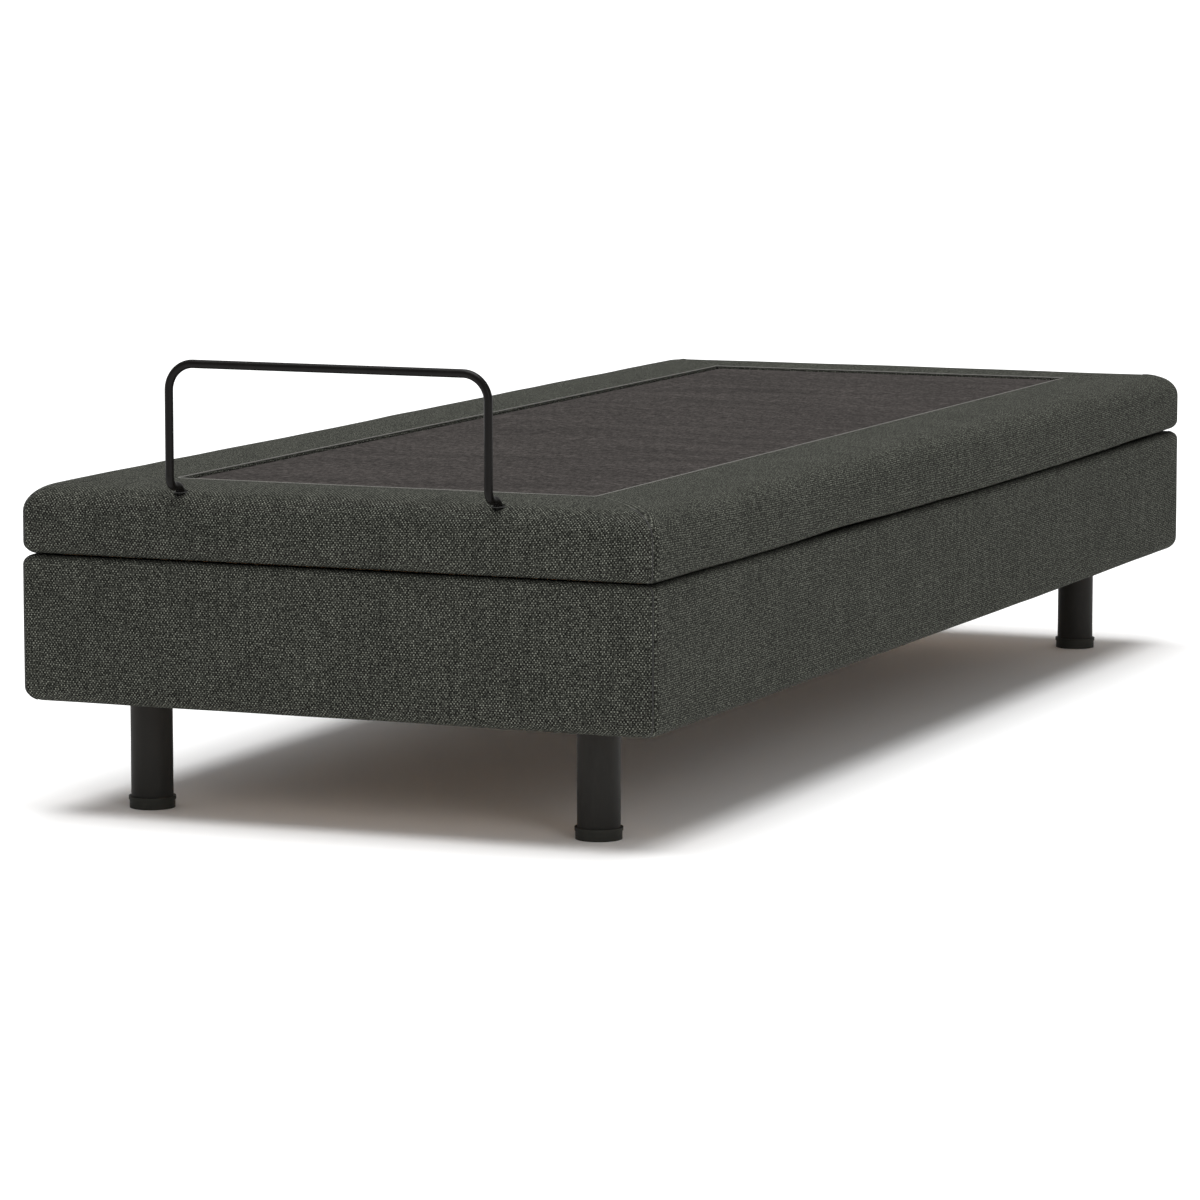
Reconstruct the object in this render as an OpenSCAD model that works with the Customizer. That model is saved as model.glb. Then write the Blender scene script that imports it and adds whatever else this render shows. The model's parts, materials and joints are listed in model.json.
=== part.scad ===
// Single adjustable bed base: an upholstered box on four tube legs, and a folding deck in four
// sections (calf, thigh, seat, back) lifted by two linear drives. +Z is up, the floor is z = 0,
// the foot end with the mattress retainer faces -Y, and the origin is under the middle of the
// whole object.

/* [Bed] */
// Length of the bed, from foot end to head end
bed_length = 2000; // [1900:10:2100]
// Width of the bed
bed_width = 800; // [780:10:900]
// Height of the mattress face above the floor
deck_top = 388; // [384:1:400]
// Height of the folding deck
deck_height = 80; // [78:1:84]
// Height of the box's lower edge above the floor
box_bottom = 135; // [120:1:150]
// Gap between the box and the deck at rest
seam_gap = 2; // [1:0.5:3]

/* [Sections] */
// Length of the calf section, at the foot end
calf_length = 610; // [580:10:640]
// Length of the thigh section
thigh_length = 310; // [290:10:330]
// Length of the fixed seat section
seat_length = 260; // [250:10:280]
// Highest angle of the back section
back_angle = 65; // [40:1:68]
// Highest angle of the thigh section
thigh_angle = 38; // [25:1:40]

/* [Upholstery] */
// Width of the padded border along the sides
side_border = 134; // [120:1:150]
// Width of the padded border at the foot end
foot_border = 141; // [120:1:150]
// Width of the padded border at the head end
head_border = 132; // [120:1:150]
// Thickness of the border's top foam
top_foam = 12; // [10:1:14]
// Thickness of the deck's edge foam
edge_foam = 18; // [14:1:22]
// Thickness of the box's padded cover
box_foam = 8; // [5:1:10]
// Thickness of the anti-slip mat
mat_height = 9; // [6:1:10]

/* [Boards] */
// Thickness of the deck panels
panel_height = 15; // [12:1:18]
// Thickness of the box's boards and of the deck's skirts
board = 18; // [16:1:20]

/* [Legs] */
// Diameter of a leg tube
leg_d = 50; // [40:1:60]
// Distance of a leg's centre from the middle line
leg_x = 286; // [250:1:300]
// Distance of the foot legs' centres from the foot end
leg_foot_inset = 106; // [100:1:120]
// Distance of the head legs' centres from the head end
leg_head_inset = 124; // [110:1:130]
// Diameter of a foot cap
cap_d = 56; // [54:1:66]
// Height of a foot cap
cap_height = 14; // [10:1:20]

/* [Mattress retainer] */
// Diameter of the retainer's rod
rod_d = 10; // [8:1:10]
// Distance between the retainer's uprights
bar_width = 400; // [360:10:440]
// Height of the rod's centre above the mattress face
bar_rise = 149; // [120:1:160]
// Distance of the uprights' centre line beyond the foot end
bar_out = 8; // [8:1:14]
// Distance of the sockets' centre line inside the foot end
bar_in = 20; // [18:1:22]
// Bend radius of the top corners
corner_bend = 31; // [20:1:40]
// Bend radius of the jog over the deck's edge
jog_bend = 12; // [10:1:12]

/* [Drives] */
// Distance from a lever shaft's axis to its glide's axis
lever = 130; // [125:1:135]
// Distance of each drive from the middle line
drive_x = 90; // [80:1:95]

/* [Hidden] */
$fn = 64;
half_width = bed_width / 2;
bar_reach = bar_out + rod_d / 2;
foot_y = bar_reach / 2 - bed_length / 2;
head_y = foot_y + bed_length;
knee_y = foot_y + calf_length;
thigh_y = knee_y + thigh_length;
hip_y = thigh_y + seat_length;

deck_bottom = deck_top - deck_height;
box_top = deck_bottom - seam_gap;
lip = 4;
skirt_bottom = deck_bottom + lip;
panel_top = deck_top - top_foam;
panel_bottom = panel_top - panel_height;
panel_half = half_width - edge_foam;
skirt_in = panel_half - board;
border_in = half_width - side_border;
foot_skirt_set = edge_foam + 10;
mat_clear = 1;

box_board_out = half_width - box_foam;
box_in = box_board_out - board;

arm_height = 30;
arm_width = 20;
arm_wall = 2;
arm_bottom = panel_bottom - arm_height;
axis_z = arm_bottom + 14;
arm_x = 190;
calf_arm_x = 150;
weld_gap = 0.1;
fold_slit = 0.5;
fold_ease = 1.5;
fold_reach = 60;

shaft_r = 14;
shaft_wall = 3;
spigot_r = 8;
running_gap = 0.05;
bush_wall = 2;
bush_r = spigot_r + running_gap + bush_wall;
shaft_half = 225;
ear_x = 236;
ear_width = 8;
ear_r = 15;
knee_half = 208;
knee_ear_x = 210;

glide_r = 14;
glide_width = 24;
lever_plate = 6;
lever_pin_r = 5;
push_z = axis_z - 121;
tube_r = 18;
rod_r = 12;
rod_gap = 0.06;
back_swing = back_angle / 2;
thigh_swing = thigh_angle / 2;
back_face_y = hip_y - lever * sin(back_swing) - glide_r - 1.75;
thigh_face_y = thigh_y + lever * sin(thigh_swing) + glide_r + 0.6;
head_plate = 20;
rod_back = 260;
tube_front = 46;
tube_back = 406;
housing_length = 120;
motor_x = 56;
motor_r = 26;
motor_length = 120;
drive_beam_set = 454;

beam_top = push_z - tube_r;
beam_height = 24;
rail_x = 228;
rail_width = 25;
rail_top = beam_top + 50;
cross_width = 30;
cross_bottom = beam_top - 6;
cross_top = box_top - 6;
foot_beam_y = foot_y + 119;
head_beam_y = head_y - 271;
buffer_r = 14;
buffer_gap = 0.5;

link_r = 16;
link_width = 6;
link_x = 216;
link_pin_r = 6;
link_gap = 0.06;
open_pivot_gap = 0.5;
link_base_y = knee_y - 71;
link_calf_y = link_base_y - thigh_length;

batten_width = 100;
batten_height = 30;
stud_r = 5;
nut_r = 9;
nut_height = 8;

socket_r = 7.5;
socket_bottom = skirt_bottom + 8;
jog_z = deck_top + 6;
socket_top = jog_z - jog_bend - 1;
rod_end_z = socket_bottom + 6;

control_half = 85;
control_depth = 45;
supply_half = 65;
supply_depth = 42;
cable_r = 3;
cable_steps = 5;

fabric = "#3d3f3a";
mat_fabric = "#4a4442";
timber = "#c8a878";
ply = "#b8925e";
steel = "#2c2c2e";
zinc = "#9a9da0";
plastic = "#1d1e20";
rubber = "#151515";

// ---- Helpers ----

module block(low, high) {
    translate(low) cube(high - low);
}

module both_sides() {
    children();
    mirror([1, 0, 0]) children();
}

// Extrudes an outline drawn as (y, z) from x0 to x1.
module along_x(x0, x1) {
    translate([x0, 0, 0]) rotate([90, 0, 90]) linear_extrude(height = x1 - x0) children();
}

// Extrudes an outline drawn as (x, z) from y0 to y1.
module along_y(y0, y1) {
    translate([0, y1, 0]) rotate([90, 0, 0]) linear_extrude(height = y1 - y0) children();
}

module rod_x(x0, x1, y, z, r) {
    translate([x0, y, z]) rotate([0, 90, 0]) cylinder(r = r, h = x1 - x0);
}

module rod_y(x, y0, y1, z, r) {
    translate([x, y0, z]) rotate([-90, 0, 0]) cylinder(r = r, h = y1 - y0);
}

// Room for a fold at a hinge: a thin slit, and a wedge on the side that closes.
module fold_cut(y, angle, side) {
    spread = fold_slit + fold_reach * tan(angle / 2 + fold_ease);
    along_x(-bed_width, bed_width)
        polygon([
            [y - fold_slit, axis_z - side * fold_reach],
            [y + fold_slit, axis_z - side * fold_reach],
            [y + fold_slit, axis_z],
            [y + spread, axis_z + side * fold_reach],
            [y - spread, axis_z + side * fold_reach],
            [y - fold_slit, axis_z],
        ]);
}

module folding() {
    difference() {
        children();
        fold_cut(hip_y, back_angle, 1);
        fold_cut(thigh_y, thigh_angle, 1);
        fold_cut(knee_y, thigh_angle, -1);
    }
}

// Rectangular tube along Y with its end caps left open.
module tube_y(x0, x1, y0, y1, z0, z1, wall) {
    difference() {
        block([x0, y0, z0], [x1, y1, z1]);
        block([x0 + wall, y0 - 1, z0 + wall], [x1 - wall, y1 + 1, z1 - wall]);
    }
}

// Rectangular tube along X with its end caps left open.
module tube_x(x0, x1, y0, y1, z0, z1, wall) {
    difference() {
        block([x0, y0, z0], [x1, y1, z1]);
        block([x0 - 1, y0 + wall, z0 + wall], [x1 + 1, y1 - wall, z1 - wall]);
    }
}

// ---- Upholstered deck ----

// Cross-section of the padded border: distance outward from the middle, and height.
module edge_outline(reach, border, skirt_set) {
    top_r = 30;
    low_r = 8;
    inner = reach - border;
    difference() {
        union() {
            translate([inner, deck_bottom]) square([border - top_r, deck_height]);
            translate([inner, deck_bottom + low_r])
                square([border, deck_height - top_r - low_r]);
            translate([inner, deck_bottom]) square([border - low_r, deck_height / 2]);
            translate([reach - top_r, deck_top - top_r]) circle(r = top_r);
            translate([reach - low_r, deck_bottom + low_r]) circle(r = low_r);
        }
        translate([inner - 1, skirt_bottom])
            square([border + 1 - edge_foam, panel_top - skirt_bottom]);
        translate([inner - 1, deck_bottom - 1])
            square([border + 1 - skirt_set - board, lip + 2]);
    }
}

module side_padding(y0, y1) {
    both_sides() along_y(y0, y1) edge_outline(half_width, side_border, edge_foam);
}

// Border across one end, drawn for the head end and mirrored for the foot end.
module end_padding(reach, border, skirt_set) {
    along_x(weld_gap - border_in, border_in - weld_gap) edge_outline(reach, border, skirt_set);
    along_x(weld_gap - skirt_in, skirt_in - weld_gap)
        intersection() {
            edge_outline(reach, border, skirt_set);
            translate([reach - border, deck_bottom])
                square([border, panel_top - weld_gap - deck_bottom]);
        }
}

module panel_board(y0, y1) {
    block([-panel_half, y0, panel_bottom], [panel_half, y1, panel_top]);
}

module side_skirts(y0, y1) {
    both_sides() block([skirt_in, y0, skirt_bottom], [panel_half, y1, panel_bottom]);
}

module end_skirt(y0, y1) {
    block([weld_gap - skirt_in, y0, skirt_bottom], [skirt_in - weld_gap, y1, panel_bottom]);
}

module mat_slab(y0, y1) {
    x1 = border_in - mat_clear;
    block([-x1, y0, panel_top], [x1, y1, panel_top + mat_height]);
}

module socket_holes() {
    both_sides() translate([bar_width / 2, foot_y + bar_in, socket_bottom])
        cylinder(r = socket_r + weld_gap, h = deck_height);
}

module calf_panel() {
    color(ply) difference() {
        folding() panel_board(foot_y + edge_foam, knee_y);
        socket_holes();
    }
}

module calf_skirts() {
    color(timber) folding() {
        side_skirts(foot_y + edge_foam, knee_y);
        end_skirt(foot_y + foot_skirt_set, foot_y + foot_skirt_set + board);
    }
}

module calf_padding() {
    color(fabric) difference() {
        folding() {
            side_padding(foot_y, knee_y);
            mirror([0, 1, 0]) end_padding(-foot_y, foot_border, foot_skirt_set);
        }
        socket_holes();
    }
}

module calf_mat() {
    color(mat_fabric) folding() mat_slab(foot_y + foot_border + mat_clear, knee_y);
}

module thigh_panel() {
    color(ply) folding() panel_board(knee_y, thigh_y);
}

module thigh_skirts() {
    color(timber) folding() side_skirts(knee_y, thigh_y);
}

module thigh_padding() {
    color(fabric) folding() side_padding(knee_y, thigh_y);
}

module thigh_mat() {
    color(mat_fabric) folding() mat_slab(knee_y, thigh_y);
}

module seat_panel() {
    color(ply) folding() panel_board(thigh_y, hip_y);
}

module seat_skirts() {
    color(timber) folding() side_skirts(thigh_y, hip_y);
}

module seat_padding() {
    color(fabric) folding() side_padding(thigh_y, hip_y);
}

module seat_mat() {
    color(mat_fabric) folding() mat_slab(thigh_y, hip_y);
}

module back_panel() {
    color(ply) folding() panel_board(hip_y, head_y - edge_foam);
}

module back_skirts() {
    color(timber) folding() {
        side_skirts(hip_y, head_y - edge_foam);
        end_skirt(head_y - edge_foam - board, head_y - edge_foam);
    }
}

module back_padding() {
    color(fabric) folding() {
        side_padding(hip_y, head_y);
        end_padding(head_y, head_border, edge_foam);
    }
}

module back_mat() {
    color(mat_fabric) folding() mat_slab(hip_y, head_y - head_border - mat_clear);
}

// ---- Box ----

// Cross-section of the box's padded cover, wrapped round the board's two edges.
module cover_outline(reach) {
    top_r = 10;
    low_r = 14;
    depth = box_foam + board;
    height = box_top - box_bottom;
    difference() {
        union() {
            translate([reach - depth, box_bottom + low_r])
                square([depth, height - low_r - top_r]);
            translate([reach - depth, box_bottom]) square([depth - low_r, height]);
            translate([reach - depth, box_top - top_r - 1]) square([depth - top_r, top_r + 1]);
            translate([reach - top_r, box_top - top_r]) circle(r = top_r);
            translate([reach - low_r, box_bottom + low_r]) circle(r = low_r);
        }
        translate([reach - depth - low_r, box_bottom + lip])
            square([board + low_r, height - 2 * lip]);
    }
}

module box_cover_side() {
    along_y(foot_y, head_y) cover_outline(half_width);
}

module box_cover_end(reach) {
    along_x(weld_gap - box_in, box_in - weld_gap) cover_outline(reach);
}

module box_cover_right() {
    color(fabric) box_cover_side();
}

module box_cover_left() {
    color(fabric) mirror([1, 0, 0]) box_cover_side();
}

module box_cover_foot() {
    color(fabric) mirror([0, 1, 0]) box_cover_end(-foot_y);
}

module box_cover_head() {
    color(fabric) box_cover_end(head_y);
}

module side_board() {
    block([box_in, foot_y + box_foam, box_bottom + lip],
          [box_board_out, head_y - box_foam, box_top - lip]);
}

module end_board(y) {
    block([weld_gap - box_in, y, box_bottom + lip], [box_in - weld_gap, y + board, box_top - lip]);
}

module side_board_right() {
    color(timber) side_board();
}

module side_board_left() {
    color(timber) mirror([1, 0, 0]) side_board();
}

module foot_board() {
    color(timber) end_board(foot_y + box_foam);
}

module head_board() {
    color(timber) end_board(head_y - box_foam - board);
}

module leg_battens() {
    color(timber) for (y = [foot_y + leg_foot_inset, head_y - leg_head_inset])
        difference() {
            block([-box_in, y - batten_width / 2, box_bottom],
                  [box_in, y + batten_width / 2, box_bottom + batten_height]);
            both_sides() translate([leg_x, y, box_bottom - 1])
                cylinder(r = stud_r + 0.3, h = batten_height + 2);
        }
}

module cross_beams() {
    color(timber) for (y = [foot_beam_y, head_beam_y])
        block([-box_in, y, cross_bottom], [box_in, y + cross_width, cross_top]);
}

// ---- Legs ----

module leg(x, y) {
    top_plate = 5;
    wall = 2;
    translate([x, y, 0]) color(steel) {
        difference() {
            translate([0, 0, lip]) cylinder(r = leg_d / 2, h = box_bottom - lip);
            translate([0, 0, lip - 1])
                cylinder(r = leg_d / 2 - wall, h = box_bottom - lip - top_plate + 1);
        }
        translate([0, 0, box_bottom - top_plate])
            cylinder(r = stud_r, h = top_plate + batten_height + nut_height);
    }
}

module leg_foot_right() {
    leg(leg_x, foot_y + leg_foot_inset);
}

module leg_foot_left() {
    leg(-leg_x, foot_y + leg_foot_inset);
}

module leg_head_right() {
    leg(leg_x, head_y - leg_head_inset);
}

module leg_head_left() {
    leg(-leg_x, head_y - leg_head_inset);
}

module at_legs() {
    for (y = [foot_y + leg_foot_inset, head_y - leg_head_inset])
        both_sides() translate([leg_x, y, 0]) children();
}

module foot_caps() {
    brim = 4;
    color(plastic) at_legs() difference() {
        union() {
            cylinder(r = cap_d / 2 - 1, h = cap_height);
            translate([0, 0, cap_height - brim]) cylinder(r = cap_d / 2, h = brim);
        }
        translate([0, 0, lip]) cylinder(r = leg_d / 2 + weld_gap, h = cap_height);
    }
}

module leg_nuts() {
    color(zinc) at_legs() translate([0, 0, box_bottom + batten_height]) difference() {
        cylinder(r = nut_r, h = nut_height, $fn = 6);
        translate([0, 0, -1]) cylinder(r = stud_r + weld_gap, h = nut_height + 2);
    }
}

// ---- Steel frame ----

module frame_rail() {
    tube_y(rail_x, rail_x + rail_width, foot_beam_y + cross_width, head_beam_y,
           beam_top, rail_top, arm_wall);
}

module frame_rail_right() {
    color(steel) frame_rail();
}

module frame_rail_left() {
    color(steel) mirror([1, 0, 0]) frame_rail();
}

// Upright that carries one end of a lever shaft on the rail.
module hinge_bracket(y) {
    foot_half = 30;
    along_x(ear_x, ear_x + ear_width) difference() {
        hull() {
            translate([y, axis_z]) circle(r = ear_r);
            translate([y - foot_half, rail_top]) square([2 * foot_half, 6]);
        }
        translate([y, axis_z]) circle(r = bush_r);
    }
}

module hinge_brackets() {
    color(steel) for (y = [thigh_y, hip_y]) both_sides() hinge_bracket(y);
}

// Flanged plastic bush with its flange towards the shaft's shoulder.
module flanged_bush(x, y) {
    flange = 2;
    difference() {
        union() {
            rod_x(x, x + ear_width, y, axis_z, bush_r);
            rod_x(x - flange, x, y, axis_z, bush_r + 2);
        }
        rod_x(x - flange - 1, x + ear_width + 1, y, axis_z, spigot_r + running_gap);
    }
}

module hinge_bushes() {
    color(plastic) for (y = [thigh_y, hip_y]) both_sides() flanged_bush(ear_x, y);
}

module link_pin() {
    collar_r = 9;
    rod_x(link_x - 3, rail_x, link_base_y, push_z, link_pin_r);
    rod_x(link_x + link_width + 0.4, rail_x, link_base_y, push_z, collar_r);
    rod_x(link_x - 3, link_x - 0.4, link_base_y, push_z, collar_r);
}

module link_pins() {
    color(zinc) both_sides() link_pin();
}

module drive_beams() {
    half = rail_x + rail_width;
    mid = (back_face_y + thigh_face_y) / 2;
    color(steel) for (y = [back_face_y - drive_beam_set - beam_height, mid - beam_height / 2,
                           thigh_face_y + drive_beam_set])
        tube_x(-half, half, y, y + beam_height, beam_top - beam_height, beam_top, arm_wall);
}

module rest_buffers() {
    color(rubber) both_sides() {
        translate([calf_arm_x + arm_width / 2, foot_beam_y + cross_width / 2, cross_top])
            cylinder(r = buffer_r, h = arm_bottom - buffer_gap - cross_top);
        translate([arm_x + arm_width / 2, head_beam_y + cross_width / 2, cross_top])
            cylinder(r = buffer_r, h = arm_bottom - buffer_gap - cross_top);
    }
}

// Pressed plate with a top flange, standing on the rail under the seat panel.
module seat_supports() {
    margin = 62;
    plate = 5;
    color(steel) both_sides() {
        block([ear_x, thigh_y + margin, rail_top], [ear_x + plate, hip_y - margin, panel_bottom]);
        block([ear_x - 20, thigh_y + margin, panel_bottom - 4],
              [ear_x + plate, hip_y - margin, panel_bottom]);
    }
}

// ---- Lever shafts and section frames ----

// Torsion tube with its two end spigots.
module shaft(y, half, reach) {
    difference() {
        rod_x(-half, half, y, axis_z, shaft_r);
        rod_x(-half + 10, half - 10, y, axis_z, shaft_r - shaft_wall);
    }
    both_sides() rod_x(half - 1, reach, y, axis_z, spigot_r);
}

// Two plates and a cross pin, turned from straight down by swing about the shaft.
module lever_fork(x, y, swing) {
    tip_r = 13;
    gap = glide_width / 2 + 0.2;
    tip = [y + lever * sin(swing), axis_z - lever * cos(swing)];
    for (x0 = [x - gap - lever_plate, x + gap])
        along_x(x0, x0 + lever_plate) difference() {
            hull() {
                translate([y, axis_z]) circle(r = shaft_r);
                translate(tip) circle(r = tip_r);
            }
            translate([y, axis_z]) circle(r = shaft_r + weld_gap);
        }
    rod_x(x - gap - lever_plate - 2, x + gap + lever_plate + 2, tip[0], tip[1], lever_pin_r);
}

module glide(x, y, swing) {
    tip = [y + lever * sin(swing), axis_z - lever * cos(swing)];
    difference() {
        rod_x(x - glide_width / 2, x + glide_width / 2, tip[0], tip[1], glide_r);
        rod_x(x - glide_width, x + glide_width, tip[0], tip[1], lever_pin_r + running_gap);
    }
}

module back_shaft() {
    color(steel) {
        shaft(hip_y, shaft_half, ear_x + ear_width + 4);
        lever_fork(drive_x, hip_y, -back_swing);
    }
}

module back_glide() {
    color(plastic) glide(drive_x, hip_y, -back_swing);
}

module thigh_shaft() {
    color(steel) {
        shaft(thigh_y, shaft_half, ear_x + ear_width + 4);
        lever_fork(-drive_x, thigh_y, thigh_swing);
    }
}

module thigh_glide() {
    color(plastic) glide(-drive_x, thigh_y, thigh_swing);
}

// Side arm from a shaft's surface to a far end.
module arm(x, shaft_y, from_y, to_y) {
    difference() {
        tube_y(x, x + arm_width, from_y, to_y, arm_bottom, panel_bottom, arm_wall);
        rod_x(x - 1, x + arm_width + 1, shaft_y, axis_z, shaft_r + weld_gap);
    }
}

module back_frame() {
    far_y = head_y - 120;
    color(steel) {
        both_sides() arm(arm_x, hip_y, hip_y + 6, far_y);
        tube_x(weld_gap - arm_x, arm_x - weld_gap, far_y - arm_height, far_y,
               arm_bottom, panel_bottom, arm_wall);
        tube_x(weld_gap - arm_x, arm_x - weld_gap, hip_y + 330, hip_y + 330 + arm_height,
               arm_bottom, panel_bottom, arm_wall);
    }
}

module thigh_frame() {
    arm_end = knee_y + 20;
    color(steel) both_sides() {
        arm(arm_x, thigh_y, arm_end, thigh_y - 6);
        along_x(knee_ear_x, knee_ear_x + ear_width) difference() {
            hull() {
                translate([knee_y, axis_z]) circle(r = shaft_r);
                translate([arm_end + 40, arm_bottom + 2]) square([30, arm_height - 4]);
            }
            translate([knee_y, axis_z]) circle(r = bush_r);
        }
    }
}

module knee_bushes() {
    color(plastic) both_sides() difference() {
        rod_x(knee_ear_x, knee_ear_x + ear_width, knee_y, axis_z, bush_r);
        rod_x(knee_ear_x - 1, knee_ear_x + ear_width + 1, knee_y, axis_z, spigot_r + running_gap);
    }
}

module knee_shaft() {
    color(steel) shaft(knee_y, knee_half, knee_ear_x + ear_width + 2);
}

// Arms, end tube, and the hanging bar whose spigots carry the two links.
module calf_frame() {
    far_y = foot_y + 100;
    hanger = 8;
    bar_r = 10;
    collar_r = 9;
    bar_half = link_x - 5;
    link_out = link_x + link_width;
    color(steel) {
        both_sides() arm(calf_arm_x, knee_y, far_y, knee_y - 6);
        tube_x(weld_gap - calf_arm_x, calf_arm_x - weld_gap, far_y, far_y + arm_height,
               arm_bottom, panel_bottom, arm_wall);
        both_sides() along_x(calf_arm_x, calf_arm_x + hanger) difference() {
            hull() {
                translate([link_calf_y, push_z]) circle(r = link_r);
                translate([link_calf_y - 30, arm_bottom - weld_gap - 1]) square([60, 1]);
            }
            translate([link_calf_y, push_z]) circle(r = bar_r + weld_gap);
        }
        rod_x(-bar_half, bar_half, link_calf_y, push_z, bar_r);
        both_sides() {
            rod_x(bar_half - 1, link_out + 3, link_calf_y, push_z, link_pin_r);
            rod_x(bar_half - 1, link_x - 0.4, link_calf_y, push_z, collar_r);
            rod_x(link_out + 0.4, link_out + 3, link_calf_y, push_z, collar_r);
        }
    }
}

module calf_links() {
    color(zinc) both_sides() along_x(link_x, link_x + link_width) difference() {
        hull() {
            translate([link_base_y, push_z]) circle(r = link_r);
            translate([link_calf_y, push_z]) circle(r = link_r);
        }
        translate([link_base_y, push_z]) circle(r = link_pin_r + link_gap);
        translate([link_calf_y, push_z]) circle(r = link_pin_r + open_pivot_gap);
    }
}

// ---- Drives ----

// A drive is drawn pushing towards +Y, with its pushing face at y = 0.
module at_back_drive() {
    translate([drive_x, back_face_y, push_z]) children();
}

module at_thigh_drive() {
    translate([-drive_x, thigh_face_y, push_z]) rotate([0, 0, 180]) children();
}

module at_drives() {
    at_back_drive() children();
    at_thigh_drive() children();
}

module drive_rod() {
    head_half = 24;
    head_side = 11.5;
    block([-head_side, -head_plate, -head_half], [head_side, 0, head_half]);
    rod_y(0, -rod_back, 1 - head_plate, 0, rod_r);
}

module back_drive_rod() {
    color(zinc) at_back_drive() drive_rod();
}

module thigh_drive_rod() {
    color(zinc) at_thigh_drive() drive_rod();
}

module drive_tubes() {
    floor_length = 10;
    color(zinc) at_drives() difference() {
        rod_y(0, -tube_back, -tube_front, 0, tube_r);
        rod_y(0, floor_length - tube_back, 1 - tube_front, 0, rod_r + rod_gap);
    }
}

module gear_housings() {
    low = -tube_r;
    high = tube_r + 20;
    corner_r = 10;
    y0 = -tube_back - housing_length;
    x0 = -28;
    x1 = motor_x + motor_r;
    color(plastic) at_drives() {
        block([x0 + corner_r, y0, low], [x1 - corner_r, -tube_back, high]);
        block([x0, y0 + corner_r, low], [x1, -tube_back - corner_r, high]);
        for (x = [x0 + corner_r, x1 - corner_r])
            for (y = [y0 + corner_r, -tube_back - corner_r])
                translate([x, y, low]) cylinder(r = corner_r, h = high - low);
    }
}

module motors() {
    color(steel) at_drives()
        rod_y(motor_x, -tube_back, motor_length - tube_back, motor_r - tube_r + 2, motor_r);
}

module control_box() {
    y1 = head_beam_y;
    color(plastic) block([-control_half, y1 - control_depth, cross_bottom + 10],
                         [control_half, y1, cross_top - 8]);
}

// Box with the gland of the mains lead in its underside.
module power_supply() {
    y0 = head_beam_y + cross_width;
    z0 = cross_bottom + 15;
    gland_r = 8;
    gland_length = 14;
    color(plastic) {
        block([-supply_half, y0, z0], [supply_half, y0 + supply_depth, cross_top - 15]);
        translate([supply_half / 2, y0 + supply_depth / 2, z0 - gland_length])
            cylinder(r = gland_r, h = gland_length + 1);
    }
}

// Smooth curve through hand-placed points, as Catmull-Rom spans.
function span_point(a, b, c, d, t) =
    0.5 * (2 * b + (c - a) * t + (2 * a - 5 * b + 4 * c - d) * t * t
           + (3 * b - a - 3 * c + d) * t * t * t);
function curve(p) = [
    for (i = [0 : len(p) - 2], k = [0 : cable_steps - 1])
        span_point(p[max(i - 1, 0)], p[i], p[i + 1], p[min(i + 2, len(p) - 1)], k / cable_steps),
    p[len(p) - 1],
];

module cable(route) {
    path = curve(route);
    for (i = [0 : len(path) - 2]) hull() {
        translate(path[i]) sphere(r = cable_r, $fn = 8);
        translate(path[i + 1]) sphere(r = cable_r, $fn = 8);
    }
}

// Leads from the control box to the two drives, laid on the beams, and from the supply.
module drive_cables() {
    clear = cable_r + 0.2;
    lay_z = beam_top + clear;
    box_front = head_beam_y - control_depth - clear;
    drive_end = tube_back + housing_length + clear;
    box_z = cross_bottom + 40;
    back_end = back_face_y - drive_end;
    thigh_end = thigh_face_y + drive_end;
    supply_y = head_beam_y + cross_width + 20;
    color(rubber) {
        cable([[50, box_front, box_z], [60, box_front - 50, box_z - 15],
               [150, box_front - 90, lay_z + 4], [190, box_front - 200, lay_z],
               [190, 300, lay_z], [190, 0, lay_z], [190, -250, lay_z],
               [186, back_end + 40, lay_z], [160, back_end - 35, lay_z],
               [118, back_end - 35, lay_z + 10], [105, back_end, lay_z + 20]]);
        cable([[-50, box_front, box_z], [-60, box_front - 40, box_z - 10],
               [-100, box_front - 80, lay_z + 10], [-105, thigh_end + 40, lay_z + 18],
               [-105, thigh_end, lay_z + 20]]);
        cable([[supply_half + clear, supply_y, box_z], [supply_half + 40, supply_y, box_z - 20],
               [supply_half + 60, supply_y - 20, cross_bottom - 10],
               [supply_half + 62, supply_y - 60, cross_bottom - 10],
               [supply_half + 60, box_front + 25, box_z - 20],
               [control_half + clear, box_front + 25, box_z]]);
    }
}

// ---- Mattress retainer ----

module quarter_bend(bend_r) {
    rotate_extrude(angle = 90) translate([bend_r, 0]) circle(r = rod_d / 2);
}

module retainer_bar() {
    r = rod_d / 2;
    x = bar_width / 2;
    y_out = foot_y - bar_out;
    y_in = foot_y + bar_in;
    top_z = deck_top + bar_rise;
    color(steel) {
        rod_x(corner_bend - x, x - corner_bend, y_out, top_z, r);
        both_sides() {
            translate([x - corner_bend, y_out, top_z - corner_bend])
                rotate([90, 0, 0]) quarter_bend(corner_bend);
            translate([x, y_out, jog_z + jog_bend])
                cylinder(r = r, h = top_z - corner_bend - jog_z - jog_bend);
            translate([x, y_out + jog_bend, jog_z + jog_bend])
                rotate([180, 0, 0]) rotate([90, 0, 90]) quarter_bend(jog_bend);
            rod_y(x, y_out + jog_bend, y_in - jog_bend, jog_z, r);
            translate([x, y_in - jog_bend, jog_z - jog_bend])
                rotate([90, 0, 90]) quarter_bend(jog_bend);
            translate([x, y_in, rod_end_z]) cylinder(r = r, h = jog_z - jog_bend - rod_end_z);
        }
    }
}

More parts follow.
